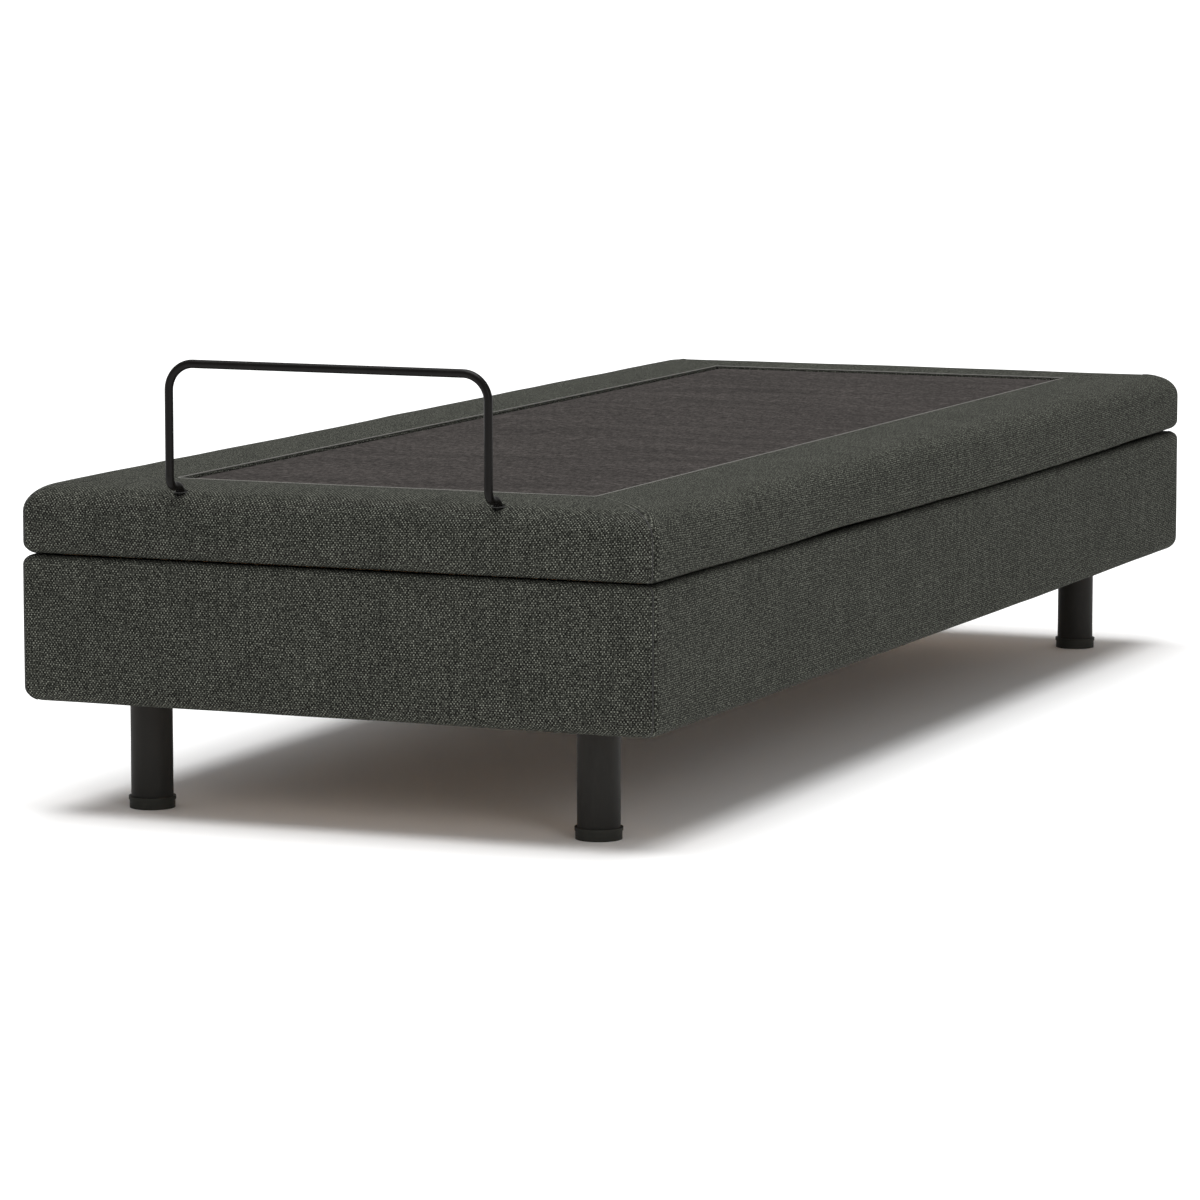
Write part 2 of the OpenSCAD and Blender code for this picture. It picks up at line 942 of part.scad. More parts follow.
// Sleeve for the retainer, with a plate screwed to the calf section's foot skirt.
module retainer_sockets() {
    y = foot_y + bar_in;
    skirt_y = foot_y + foot_skirt_set;
    plate_half = 18;
    floor_height = 3;
    color(zinc) both_sides() difference() {
        union() {
            translate([bar_width / 2, y, socket_bottom])
                cylinder(r = socket_r, h = socket_top - socket_bottom);
            block([bar_width / 2 - plate_half, skirt_y - 3, socket_bottom],
                  [bar_width / 2 + plate_half, skirt_y, panel_bottom]);
        }
        translate([bar_width / 2, y, socket_bottom + floor_height])
            cylinder(r = rod_d / 2 + 0.08, h = deck_height);
    }
}

side_board_left();
side_board_right();
foot_board();
head_board();
box_cover_left();
box_cover_right();
box_cover_foot();
box_cover_head();
leg_battens();
cross_beams();
frame_rail_left();
frame_rail_right();
hinge_brackets();
hinge_bushes();
link_pins();
drive_beams();
rest_buffers();
leg_foot_left();
leg_foot_right();
leg_head_left();
leg_head_right();
foot_caps();
leg_nuts();
seat_panel();
seat_skirts();
seat_padding();
seat_mat();
seat_supports();
motors();
gear_housings();
drive_tubes();
control_box();
power_supply();
drive_cables();
back_panel();
back_skirts();
back_padding();
back_mat();
back_shaft();
back_frame();
back_glide();
thigh_panel();
thigh_skirts();
thigh_padding();
thigh_mat();
thigh_shaft();
thigh_frame();
thigh_glide();
knee_bushes();
calf_panel();
calf_skirts();
calf_padding();
calf_mat();
knee_shaft();
calf_frame();
calf_links();
retainer_sockets();
retainer_bar();
back_drive_rod();
thigh_drive_rod();
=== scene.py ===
"""Adjustable bed base: padded covers, mat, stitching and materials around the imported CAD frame."""

import json
import math

import bmesh
import bpy
import numpy as np
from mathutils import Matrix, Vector


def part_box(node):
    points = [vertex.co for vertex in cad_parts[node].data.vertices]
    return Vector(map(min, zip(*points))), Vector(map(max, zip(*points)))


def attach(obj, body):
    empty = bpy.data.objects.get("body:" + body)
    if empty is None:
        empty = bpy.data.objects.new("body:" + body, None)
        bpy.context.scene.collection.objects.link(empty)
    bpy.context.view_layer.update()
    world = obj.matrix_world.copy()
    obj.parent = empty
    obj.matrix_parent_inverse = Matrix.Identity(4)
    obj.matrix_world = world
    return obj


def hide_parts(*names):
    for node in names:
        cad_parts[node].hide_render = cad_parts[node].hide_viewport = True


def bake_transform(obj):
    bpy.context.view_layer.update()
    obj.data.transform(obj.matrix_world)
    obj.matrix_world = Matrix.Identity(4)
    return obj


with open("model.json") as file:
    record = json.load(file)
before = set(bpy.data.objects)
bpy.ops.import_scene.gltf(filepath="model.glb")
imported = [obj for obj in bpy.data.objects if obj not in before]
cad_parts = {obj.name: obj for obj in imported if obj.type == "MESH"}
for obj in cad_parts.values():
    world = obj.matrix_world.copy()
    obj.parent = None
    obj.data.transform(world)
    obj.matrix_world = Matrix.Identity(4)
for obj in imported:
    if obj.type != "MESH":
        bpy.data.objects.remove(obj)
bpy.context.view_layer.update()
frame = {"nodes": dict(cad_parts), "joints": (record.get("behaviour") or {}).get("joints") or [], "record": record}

MM = 0.001
NODES = frame["nodes"]
RECORD = frame["record"]
JOINTS = {joint["name"]: joint for joint in frame["joints"]}


def low(node):
    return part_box(node)[0]


def high(node):
    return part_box(node)[1]


# Places that the covers share, all read from the frame.
HIP_Y = JOINTS["back_hinge"]["pos_m"][1]
THIGH_Y = JOINTS["thigh_hinge"]["pos_m"][1]
KNEE_Y = JOINTS["knee_hinge"]["pos_m"][1]
SEAT_CUT = (HIP_Y + THIGH_Y) / 2
THIGH_CUT = (THIGH_Y + KNEE_Y) / 2
FOOT_Y = low("calf_padding").y
HEAD_Y = high("back_padding").y
HALF_WIDTH = high("calf_padding").x
DECK_TOP = high("calf_padding").z
DECK_BOTTOM = low("calf_padding").z
PANEL_TOP = high("calf_panel").z
PANEL_EDGE = high("calf_panel").x
SKIRT_BOTTOM = low("calf_skirts").z
MAT_LOW = Vector(low("calf_mat"))
MAT_HIGH = Vector(high("back_mat"))
BOX_BOTTOM = low("box_cover_foot").z
BOX_TOP = high("box_cover_foot").z
BOARD_EDGE = high("side_board_right").x
SKIRT_FOOT_Y = low("calf_skirts").y
PANEL_BOTTOM = low("calf_panel").z
ROD_X = high("retainer_sockets").x - 18 * MM
ROD_Y = FOOT_Y + 20 * MM

# Size of one yarn crossing, along the bed's edge and across it.
CELL_ALONG, CELL_ACROSS = 2.0 * MM, 2.6 * MM

# The seam between box and deck: how far it hangs, and where it stands off.
SEAM_SAG = 3 * MM
SEAM_EDGE = 9 * MM
KNEE_LIFT = 2.2 * MM
HEAD_LIFT = 1.2 * MM


# ---- Camera, light and floor ----

def make_camera():
    """Camera at the photograph's angle, aimed close to the middle of the bed's near half."""
    azimuth = math.radians(22.77)
    elevation = math.radians(7.21)
    distance = 6.9
    target = Vector((-0.0019, FOOT_Y + 0.7952, 0.1797))
    toward = Vector((math.sin(azimuth) * math.cos(elevation),
                     -math.cos(azimuth) * math.cos(elevation), math.sin(elevation)))
    data = bpy.data.cameras.new("camera")
    data.sensor_width = 36
    data.lens = 162.5
    data.clip_end = 100
    camera = bpy.data.objects.new("camera", data)
    camera.location = target + distance * toward
    camera.rotation_euler = (math.pi / 2 - elevation, 0, azimuth)
    bpy.context.scene.collection.objects.link(camera)
    bpy.context.scene.camera = camera


def make_area(name, place, aim, size, power):
    data = bpy.data.lights.new(name, "AREA")
    data.shape = "RECTANGLE"
    data.size, data.size_y = size
    data.energy = power
    light = bpy.data.objects.new(name, data)
    light.location = place
    light.rotation_euler = (Vector(aim) - Vector(place)).to_track_quat("-Z", "Y").to_euler()
    bpy.context.scene.collection.objects.link(light)


def make_overhead(strength, spread):
    """Broad light from straight above, the same over the whole floor."""
    data = bpy.data.lights.new("overhead", "SUN")
    data.energy = strength
    data.angle = math.radians(spread)
    light = bpy.data.objects.new("overhead", data)
    light.location = (0, 0, 5)
    bpy.context.scene.collection.objects.link(light)


def make_studio():
    scene = bpy.context.scene
    scene.view_settings.view_transform = "Standard"
    world = bpy.data.worlds.new("studio")
    world.use_nodes = True
    background = world.node_tree.nodes["Background"]
    background.inputs["Color"].default_value = (1, 1, 1, 1)
    background.inputs["Strength"].default_value = 0.42
    scene.world = world
    make_overhead(3.4, 50)
    make_area("side", (2.9, FOOT_Y - 2.2, 1.5), (0.4, FOOT_Y + 0.2, 0.25), (1.4, 1.2), 20)
    bpy.ops.mesh.primitive_plane_add(size=200)
    floor = bpy.context.object
    floor.name = "floor"
    material = bpy.data.materials.new("floor")
    material.use_nodes = True
    shader = material.node_tree.nodes["Principled BSDF"]
    shader.inputs["Base Color"].default_value = (0.97, 0.97, 0.97, 1)
    shader.inputs["Roughness"].default_value = 0.8
    floor.data.materials.append(material)


# ---- Node helpers ----

class Tree:
    """Short names for building one material's nodes."""

    def __init__(self, name, **shader_values):
        self.material = bpy.data.materials.new(name)
        self.material.use_nodes = True
        self.tree = self.material.node_tree
        self.shader = self.tree.nodes["Principled BSDF"]
        for socket, value in shader_values.items():
            self.shader.inputs[socket.replace("_", " ")].default_value = value

    def node(self, kind, **settings):
        made = self.tree.nodes.new(kind)
        for key, value in settings.items():
            setattr(made, key, value)
        return made

    def link(self, source, target):
        self.tree.links.new(source, target)

    def put(self, target, value):
        if isinstance(value, bpy.types.NodeSocket):
            self.link(value, target)
        else:
            target.default_value = value

    def math(self, operation, first, second=0.0, third=0.0):
        made = self.node("ShaderNodeMath", operation=operation)
        for target, value in zip(made.inputs, (first, second, third)):
            self.put(target, value)
        return made.outputs[0]

    def stretch(self, vector, scale):
        made = self.node("ShaderNodeMapping")
        self.put(made.inputs["Vector"], vector)
        made.inputs["Scale"].default_value = scale
        return made.outputs[0]

    def wander(self, vector, scale, amount):
        """The vector, pushed about by a slow noise so that straight yarns drift a little."""
        slow = self.node("ShaderNodeTexNoise")
        self.put(slow.inputs["Vector"], vector)
        slow.inputs["Scale"].default_value = scale
        slow.inputs["Detail"].default_value = 2.0
        shift = self.node("ShaderNodeVectorMath", operation="MULTIPLY_ADD")
        self.link(slow.outputs["Color"], shift.inputs[0])
        shift.inputs[1].default_value = (amount * 6, amount * 6, 0)
        self.link(vector, shift.inputs[2])
        return shift.outputs[0]

    def noise(self, vector, scale, detail=2.0, roughness=0.5):
        made = self.node("ShaderNodeTexNoise")
        self.put(made.inputs["Vector"], vector)
        made.inputs["Scale"].default_value = scale
        made.inputs["Detail"].default_value = detail
        made.inputs["Roughness"].default_value = roughness
        return made.outputs["Fac"]

    def ramp(self, value, stops):
        made = self.node("ShaderNodeValToRGB")
        self.put(made.inputs[0], value)
        elements = made.color_ramp.elements
        while len(elements) < len(stops):
            elements.new(0.5)
        for element, (place, color) in zip(elements, stops):
            element.position = place
            element.color = (*color, 1)
        return made.outputs[0]

    def mix(self, factor, first, second, blend="MIX"):
        made = self.node("ShaderNodeMix", data_type="RGBA", blend_type=blend)
        self.put(made.inputs[0], factor)
        self.put(made.inputs[6], first)
        self.put(made.inputs[7], second)
        return made.outputs[2]

    def bump(self, height, strength, distance):
        made = self.node("ShaderNodeBump")
        made.inputs["Strength"].default_value = strength
        made.inputs["Distance"].default_value = distance
        self.put(made.inputs["Height"], height)
        return made.outputs[0]

    def finish(self, color=None, roughness=None, normal=None):
        if color is not None:
            self.link(color, self.shader.inputs["Base Color"])
        if roughness is not None:
            self.link(roughness, self.shader.inputs["Roughness"])
        if normal is not None:
            self.link(normal, self.shader.inputs["Normal"])
        return self.material


# ---- Fabrics ----

def weave_fabric(name, warp_tones, weft_tones, cell_u, cell_v):
    """Melange plain weave: dark warp and lighter weft cross over and under, cell by cell."""
    t = Tree(name, Roughness=0.95, Specular_IOR_Level=0.06)
    uv = t.node("ShaderNodeTexCoord").outputs["UV"]
    place = t.wander(t.stretch(uv, (1 / cell_u, 1 / cell_v, 1)), 0.03, 0.25)
    warp = t.noise(t.stretch(place, (1.5, 0.55, 1)), 1.0, 0.0)
    weft = t.noise(t.stretch(place, (0.7, 1.4, 1)), 1.1, 0.0)
    split = t.node("ShaderNodeSeparateXYZ")
    t.link(place, split.inputs[0])
    wave_u = t.math("SINE", t.math("MULTIPLY", split.outputs[0], math.pi))
    wave_v = t.math("SINE", t.math("MULTIPLY", split.outputs[1], math.pi))
    over = t.math("MULTIPLY_ADD", t.math("MULTIPLY", wave_u, wave_v), 2.0, 0.5)
    over.node.use_clamp = True
    rib_u = t.math("ABSOLUTE", wave_u)
    rib_v = t.math("ABSOLUTE", wave_v)
    crown = t.math("MULTIPLY", rib_u, rib_v)
    relief = t.math("MULTIPLY_ADD", t.math("SUBTRACT", rib_u, rib_v), over, rib_v)
    places = (0.38, 0.5, 0.62)
    yarns = t.mix(over, t.ramp(weft, list(zip(places, weft_tones))),
                  t.ramp(warp, list(zip(places, warp_tones))))
    # Painted shade darkens the cell edges between yarns, and a painted highlight brightens each yarn's crown.
    painted_yarn_shading = t.ramp(crown, [(0.05, (0.24, 0.24, 0.24)), (0.75, (1.6, 1.6, 1.6))])
    cloth = t.mix(1.0, yarns, painted_yarn_shading, "MULTIPLY")
    slubs_u = t.noise(t.stretch(uv, (22, 190, 1)), 1.0, 2.0)
    slubs_v = t.noise(t.stretch(uv, (120, 13, 1)), 1.0, 2.0)
    slubs = t.math("MULTIPLY_ADD", slubs_u, 0.3, t.math("MULTIPLY", slubs_v, 0.7))
    streaks = t.ramp(slubs, [(0.36, (0.86, 0.86, 0.86)), (0.64, (1.14, 1.14, 1.14))])
    cloud = t.ramp(t.noise(uv, 11, 3.0), [(0.3, (0.94, 0.94, 0.94)), (0.7, (1.06, 1.06, 1.06))])
    color = t.mix(1.0, t.mix(1.0, cloth, streaks, "MULTIPLY"), cloud, "MULTIPLY")
    return t.finish(color=color, normal=t.bump(relief, 0.4, 0.5 * MM))


def mat_material():
    """Brown-grey backing cloth with fine streaks both ways."""
    t = Tree("mat_fabric", Roughness=0.92, Specular_IOR_Level=0.06)
    uv = t.node("ShaderNodeTexCoord").outputs["UV"]
    across = t.noise(t.stretch(uv, (70, 480, 1)), 1.0, 2.0, 0.6)
    along = t.noise(t.stretch(uv, (600, 90, 1)), 1.0, 2.0, 0.6)
    streak = t.math("MULTIPLY_ADD", along, 0.4, t.math("MULTIPLY", across, 0.6))
    cloud = t.noise(t.stretch(uv, (4, 16, 1)), 1.0, 3.0)
    base = t.ramp(streak, [(0.38, (0.012, 0.0105, 0.010)), (0.5, (0.033, 0.029, 0.027)),
                           (0.62, (0.085, 0.076, 0.072))])
    shade = t.ramp(cloud, [(0.3, (0.8, 0.8, 0.8)), (0.7, (1.2, 1.2, 1.2))])
    color = t.mix(1.0, base, shade, "MULTIPLY")
    return t.finish(color=color, normal=t.bump(streak, 0.4, 0.4 * MM))


def thread_material(name, dark, light):
    t = Tree(name, Roughness=0.75)
    place = t.node("ShaderNodeTexCoord").outputs["Object"]
    tone = t.noise(place, 700, 2.0)
    color = t.ramp(tone, [(0.35, dark), (0.65, light)])
    return t.finish(color=color, normal=t.bump(tone, 0.3, 0.3 * MM))


# ---- Hard materials ----

def coated_steel(name, base, roughness, grain, shine):
    """Powder coat or lacquer, with a fine orange peel and light rubbing marks."""
    t = Tree(name, Specular_IOR_Level=shine)
    place = t.node("ShaderNodeTexCoord").outputs["Object"]
    peel = t.noise(place, grain, 2.0)
    rub = t.noise(t.stretch(place, (40, 40, 12)), 1.0, 4.0, 0.7)
    lighter = tuple(1.5 * c + 0.002 for c in base)
    color = t.ramp(rub, [(0.45, base), (0.85, lighter)])
    gloss = t.ramp(rub, [(0.3, (roughness,) * 3), (0.8, (roughness + 0.12,) * 3)])
    return t.finish(color=color, roughness=gloss, normal=t.bump(peel, 0.12, 0.2 * MM))


def bare_metal(name, base, roughness, direction):
    t = Tree(name, Metallic=1.0)
    place = t.node("ShaderNodeTexCoord").outputs["Object"]
    brush = t.noise(t.stretch(place, direction), 1.0, 3.0, 0.6)
    stain = t.noise(place, 18, 3.0)
    darker = tuple(0.72 * c for c in base)
    color = t.mix(stain, t.ramp(brush, [(0.3, darker), (0.7, base)]), (*base, 1))
    gloss = t.ramp(brush, [(0.2, (roughness - 0.08,) * 3), (0.8, (roughness + 0.12,) * 3)])
    return t.finish(color=color, roughness=gloss, normal=t.bump(brush, 0.15, 0.1 * MM))


def moulded(name, base, roughness, grain):
    t = Tree(name, Specular_IOR_Level=0.2)
    place = t.node("ShaderNodeTexCoord").outputs["Object"]
    texture = t.noise(place, grain, 2.0)
    haze = t.noise(place, 22, 3.0)
    lighter = tuple(min(1, 1.25 * c + 0.004) for c in base)
    color = t.ramp(haze, [(0.35, base), (0.75, lighter)])
    gloss = t.ramp(texture, [(0.3, (roughness,) * 3), (0.7, (roughness + 0.15,) * 3)])
    return t.finish(color=color, roughness=gloss, normal=t.bump(texture, 0.2, 0.2 * MM))


def wood(name, dark, light, grain):
    t = Tree(name, Roughness=0.62, Specular_IOR_Level=0.3)
    place = t.node("ShaderNodeTexCoord").outputs["Object"]
    rings = t.node("ShaderNodeTexWave", wave_type="BANDS", bands_direction="DIAGONAL")
    t.link(t.stretch(place, grain), rings.inputs["Vector"])
    rings.inputs["Scale"].default_value = 1.0
    rings.inputs["Distortion"].default_value = 6.0
    rings.inputs["Detail"].default_value = 3.0
    fibre = t.noise(t.stretch(place, [9 * g for g in grain]), 1.0, 4.0, 0.65)
    tone = t.math("MULTIPLY_ADD", fibre, 0.5, t.math("MULTIPLY", rings.outputs["Fac"], 0.5))
    color = t.ramp(tone, [(0.25, dark), (0.75, light)])
    return t.finish(color=color, normal=t.bump(fibre, 0.2, 0.3 * MM))


def cloth_tones(*values):
    """Charcoal tones with a slight green cast."""
    return [(value, 1.03 * value, 0.87 * value) for value in values]


def make_materials():
    warp = cloth_tones(0.006, 0.017, 0.045)
    weft = cloth_tones(0.026, 0.062, 0.138)
    return {
        "deck_fabric": weave_fabric("deck_fabric", warp, weft, CELL_ALONG, CELL_ACROSS),
        "box_fabric": weave_fabric("box_fabric", warp, weft, CELL_ALONG, CELL_ACROSS),
        "mat_fabric": mat_material(),
        # Light grey seam thread: partly real thread colour, partly painted highlight on the border's inner rim.
        "thread_with_rim_highlight": thread_material("thread_with_rim_highlight", (0.1, 0.098, 0.09), (0.19, 0.186, 0.17)),
        "thread_dark": thread_material("thread_dark", (0.012, 0.012, 0.011), (0.03, 0.03, 0.027)),
        "timber": wood("timber", (0.33, 0.2, 0.1), (0.56, 0.38, 0.21), (5, 0.4, 5)),
        "timber_across": wood("timber_across", (0.33, 0.2, 0.1), (0.56, 0.38, 0.21), (0.4, 5, 5)),
        "plywood": wood("plywood", (0.30, 0.19, 0.1), (0.5, 0.35, 0.2), (4, 0.5, 60)),
        "frame_steel": coated_steel("frame_steel", (0.02, 0.02, 0.021), 0.42, 900, 0.3),
        "leg_steel": coated_steel("leg_steel", (0.019, 0.018, 0.016), 0.5, 1400, 0.12),
        "retainer_steel": coated_steel("retainer_steel", (0.004, 0.0034, 0.003), 0.3, 500, 0.12),
        "zinc_steel": bare_metal("zinc_steel", (0.55, 0.56, 0.58), 0.35, (30, 300, 300)),
        "drive_metal": bare_metal("drive_metal", (0.62, 0.63, 0.65), 0.3, (300, 12, 300)),
        "cap_plastic": moulded("cap_plastic", (0.021, 0.021, 0.017), 0.5, 1500),
        "drive_plastic": moulded("drive_plastic", (0.013, 0.013, 0.014), 0.45, 1200),
        "bearing_plastic": moulded("bearing_plastic", (0.68, 0.66, 0.6), 0.4, 1000),
        "black_rubber": moulded("black_rubber", (0.012, 0.012, 0.012), 0.7, 800),
    }


def lies_across(node):
    size = high(node) - low(node)
    return size.x > size.y


def dress_frame(materials):
    """Gives every CAD node the material of its record slot; timber grain follows the board."""
    for part in RECORD["subparts"]:
        node = NODES[part["node"]]
        slot = part["material_slot"]
        if slot == "timber" and lies_across(part["node"]):
            slot = "timber_across"
        node.data.materials.clear()
        node.data.materials.append(materials[slot])


# ---- Mesh helpers ----

SIDE_STATIONS = 150
END_STATIONS = 60
CORNER_STATIONS = 12


def rounded_loop(half_x, y0, y1, radius):
    """Points of a rounded rectangle, anticlockwise from the foot end's left corner."""
    corners = [(half_x - radius, y0 + radius, -math.pi / 2),
               (half_x - radius, y1 - radius, 0.0),
               (radius - half_x, y1 - radius, math.pi / 2),
               (radius - half_x, y0 + radius, math.pi)]
    counts = [SIDE_STATIONS, END_STATIONS, SIDE_STATIONS, END_STATIONS]
    points = []
    for index, (cx, cy, start) in enumerate(corners):
        for step in range(CORNER_STATIONS):
            angle = start + math.pi / 2 * step / (CORNER_STATIONS - 1)
            points.append((cx + radius * math.cos(angle), cy + radius * math.sin(angle)))
        ahead = corners[(index + 1) % 4]
        first = np.array(points[-1])
        last = np.array((ahead[0] + radius * math.cos(ahead[2]),
                         ahead[1] + radius * math.sin(ahead[2])))
        for step in range(1, counts[index]):
            points.append(tuple(first + (last - first) * step / counts[index]))
    return np.array(points)


def level(points, z):
    return np.column_stack([points, np.full(len(points), z)])


def closed_ring(name, loops, shown, first_round=0, lead=6):
    """Mesh through loops of points, closed both ways. shown says which loops are the outside."""
    rows, columns = len(loops), len(loops[0])
    points = np.concatenate(loops)
    faces = []
    for row in range(rows):
        below, above = row * columns, (row + 1) % rows * columns
        for column in range(columns):
            ahead = (column + 1) % columns
            faces.append((below + column, below + ahead, above + ahead, above + column))
    mesh = bpy.data.meshes.new(name)
    mesh.from_pydata(points.tolist(), [], faces)
    mesh.validate()
    lay_uv(mesh, loops, first_round, lead)
    piece = bpy.data.objects.new(name, mesh)
    bpy.context.scene.collection.objects.link(piece)
    turn_outward(piece)
    mask = np.repeat(np.array(shown, float), columns)
    return piece, mask


def lay_uv(mesh, loops, first_round, lead):
    """UVs in metres, the first along the bed's edge and the second across it and down.

    lead is how many stations of each rounded corner belong to the end, not to the side."""
    columns = len(loops[0])
    grid = np.array(loops)
    steps = np.linalg.norm(np.diff(grid, axis=0), axis=2)
    run = np.concatenate([np.zeros((1, columns)), np.cumsum(steps, axis=0)])
    run = run - run[first_round]
    edge_x = np.abs(grid[first_round, :, 0]).max()
    edge_low, edge_high = grid[first_round, :, 1].min(), grid[first_round, :, 1].max()
    per_side = CORNER_STATIONS + SIDE_STATIONS - 1
    per_end = CORNER_STATIONS + END_STATIONS - 1
    turn = CORNER_STATIONS - lead
    to_head = per_side + turn
    to_left = per_side + per_end + lead
    to_foot = 2 * per_side + per_end + turn
    layer = mesh.uv_layers.new(name="UVMap")
    co = coordinates(mesh)
    for face in mesh.polygons:
        column = face.index % columns
        for corner in face.loop_indices:
            vertex = mesh.loops[corner].vertex_index
            x, y, _ = co[vertex]
            fall = run.flat[vertex]
            if lead <= column < to_head:
                place = (y, edge_x + fall)
            elif to_head <= column < to_left:
                place = (x, edge_high + fall)
            elif to_left <= column < to_foot:
                place = (y, -edge_x - fall)
            else:
                place = (x, edge_low - fall)
            layer.data[corner].uv = place


def turn_outward(piece):
    made = bmesh.new()
    made.from_mesh(piece.data)
    bmesh.ops.recalc_face_normals(made, faces=made.faces)
    made.to_mesh(piece.data)
    made.free()
    for face in piece.data.polygons:
        face.use_smooth = True


def coordinates(mesh):
    co = np.zeros(len(mesh.vertices) * 3)
    mesh.vertices.foreach_get("co", co)
    return co.reshape(-1, 3)


def normals(mesh):
    values = np.zeros(len(mesh.vertices) * 3)
    mesh.vertices.foreach_get("normal", values)
    return values.reshape(-1, 3)


def settle(mesh, co):
    mesh.vertices.foreach_set("co", co.reshape(-1))
    mesh.update()


def calm_y(y):
    """y, held still close to the two planes where a cover is cut, so its pieces meet flush."""
    still = 25 * MM
    out = y.copy()
    for cut in (SEAT_CUT, THIGH_CUT):
        gap = y - cut
        near = np.clip(np.abs(gap) / still, 0, 1)
        out = np.where(np.abs(gap) < still, cut + gap * near * near, out)
    return out


def softness(co, seed):
    """Slow unevenness of padding under cloth, from -1 to 1."""
    x, y, z = co[:, 0], calm_y(co[:, 1]), co[:, 2]
    value = np.zeros(len(co))
    for step, (kx, ky, kz) in enumerate([(9, 5, 14), (17, 11, 26), (31, 23, 40), (12, 37, 33)]):
        phase = seed * 1.7 + step * 2.1
        value += np.sin(kx * x + phase) * np.sin(ky * y + 1.3 * phase) / (1 + 0.6 * step)
        value += 0.6 * np.sin(ky * 1.3 * y + kz * z + phase) / (1 + 0.6 * step)
    return value / 3.2


def cut_piece(whole, name, y0, y1):
    """Copy of a piece between two planes across the bed, closed where it was cut."""
    made = bmesh.new()
    made.from_mesh(whole.data)
    for plane_y, keep in ((y0, 1), (y1, -1)):
        if plane_y is None:
            continue
        geometry = made.verts[:] + made.edges[:] + made.faces[:]
        bmesh.ops.bisect_plane(made, geom=geometry, dist=1e-6, plane_co=(0, plane_y, 0),
                               plane_no=(0, keep, 0), clear_inner=True)
        rim = [edge for edge in made.edges if edge.is_boundary]
        for edge in rim:
            edge.smooth = False
        filled = bmesh.ops.holes_fill(made, edges=rim, sides=0)
        for face in filled["faces"]:
            face.smooth = False
    mesh = bpy.data.meshes.new(name)
    made.to_mesh(mesh)
    made.free()
    piece = bpy.data.objects.new(name, mesh)
    bpy.context.scene.collection.objects.link(piece)
    for material in whole.data.materials:
        piece.data.materials.append(material)
    return piece


def fold_in_three(whole, stem, replaced=("", "", "")):
    """Cuts a piece at mid-seat and mid-thigh and hides the CAD parts that each cut part replaces."""
    plan = [
        ("back", SEAT_CUT, None, "base", "back", HIP_Y, 1),
        ("thigh", THIGH_CUT, SEAT_CUT, "base", "thigh", THIGH_Y, -1),
        ("calf", None, THIGH_CUT, "thigh", "calf", KNEE_Y, -1),
    ]
    for index, (part, y0, y1, fixed, moving, hinge_y, way) in enumerate(plan):
        piece = cut_piece(whole, f"{stem}_{part}", y0, y1)
        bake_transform(piece)
        if replaced[index]:
            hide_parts(*replaced[index])
    bpy.data.objects.remove(whole)


# ---- Seam between box and deck ----

def seam_sag(co):
    """How far the seam hangs: most past mid-length, and most at the outer edge."""
    y = calm_y(co[:, 1])
    share = np.clip((y - FOOT_Y) / (HEAD_Y - FOOT_Y), 0, 1)
    inset = np.minimum.reduce([HALF_WIDTH - np.abs(co[:, 0]), y - FOOT_Y, HEAD_Y - y])
    edge = 1 - np.clip(inset / SEAM_EDGE, 0, 1)
    return SEAM_SAG * np.sin(math.pi * share ** 1.6) * (1 + 1.1 * edge)


def seam_lift(y):
    """Where the deck's lower edge stands a little off the box: at the knee and near the head."""
    knee = np.exp(-((y - KNEE_Y) / 0.1) ** 2)
    head = 1 / (1 + np.exp(-(y - HIP_Y - 0.2) / 0.05))
    return KNEE_LIFT * knee + HEAD_LIFT * head


# ---- Deck cover ----

# Rounding of the deck's top and lower edge, and of its corners in plan at both heights.
TOP_R, LOW_R = 31 * MM, 13 * MM
CORNER_TOP, CORNER_LOW = 24 * MM, 9 * MM


def outer_loop(inset, radius):
    return rounded_loop(HALF_WIDTH - inset, FOOT_Y + inset, HEAD_Y - inset, radius)


def deck_loops():
    """Closed cross-section of the padded border, as loops round the bed.

    Also says which loops show, and which one is the outer edge of the flat top."""
    loops, shown = [], []

    def add(points, z, show=1.0):
        loops.append(level(points, z))
        shown.append(show)

    inner_x = MAT_HIGH.x + 1 * MM
    inner = rounded_loop(inner_x, MAT_LOW.y - 1 * MM, MAT_HIGH.y + 1 * MM, 4 * MM)
    add_deck_top(add, inner, inner_x)
    add_deck_side(add)
    add_deck_inside(add, inner)
    return loops, shown, shown.index(1.0) + 8


def add_deck_top(add, inner, inner_x):
    """From the flange under the mat up over the inner edge to the flat top's outer edge."""
    inner_r = 3 * MM
    groove = 5 * MM
    under = 16 * MM
    flat_edge = outer_loop(TOP_R, CORNER_TOP)
    tuck = rounded_loop(inner_x - under, MAT_LOW.y - 1 * MM + under,
                        MAT_HIGH.y + 1 * MM - under, 4 * MM)
    add(tuck, PANEL_TOP + 0.5 * MM, 0)
    add(tuck, PANEL_TOP + 1.5 * MM, 0)
    add(inner, PANEL_TOP + 2.2 * MM, 0)
    add(inner, MAT_HIGH.z - groove, 0)
    add(inner, DECK_TOP - inner_r, 0.2)
    for step in range(1, 5):
        turn = math.pi / 2 * step / 4
        share = inner_r * (1 - math.cos(turn)) / (HALF_WIDTH - TOP_R - inner_x)
        add(inner + (flat_edge - inner) * share,
            DECK_TOP - inner_r * (1 - math.sin(turn)), 0.3)
    for share in (0.08, 0.16, 0.28, 0.42, 0.56, 0.7, 0.82, 0.92):
        crown = 2.4 * MM * math.sin(math.pi * share ** 1.3)
        add(inner + (flat_edge - inner) * share, DECK_TOP + crown)


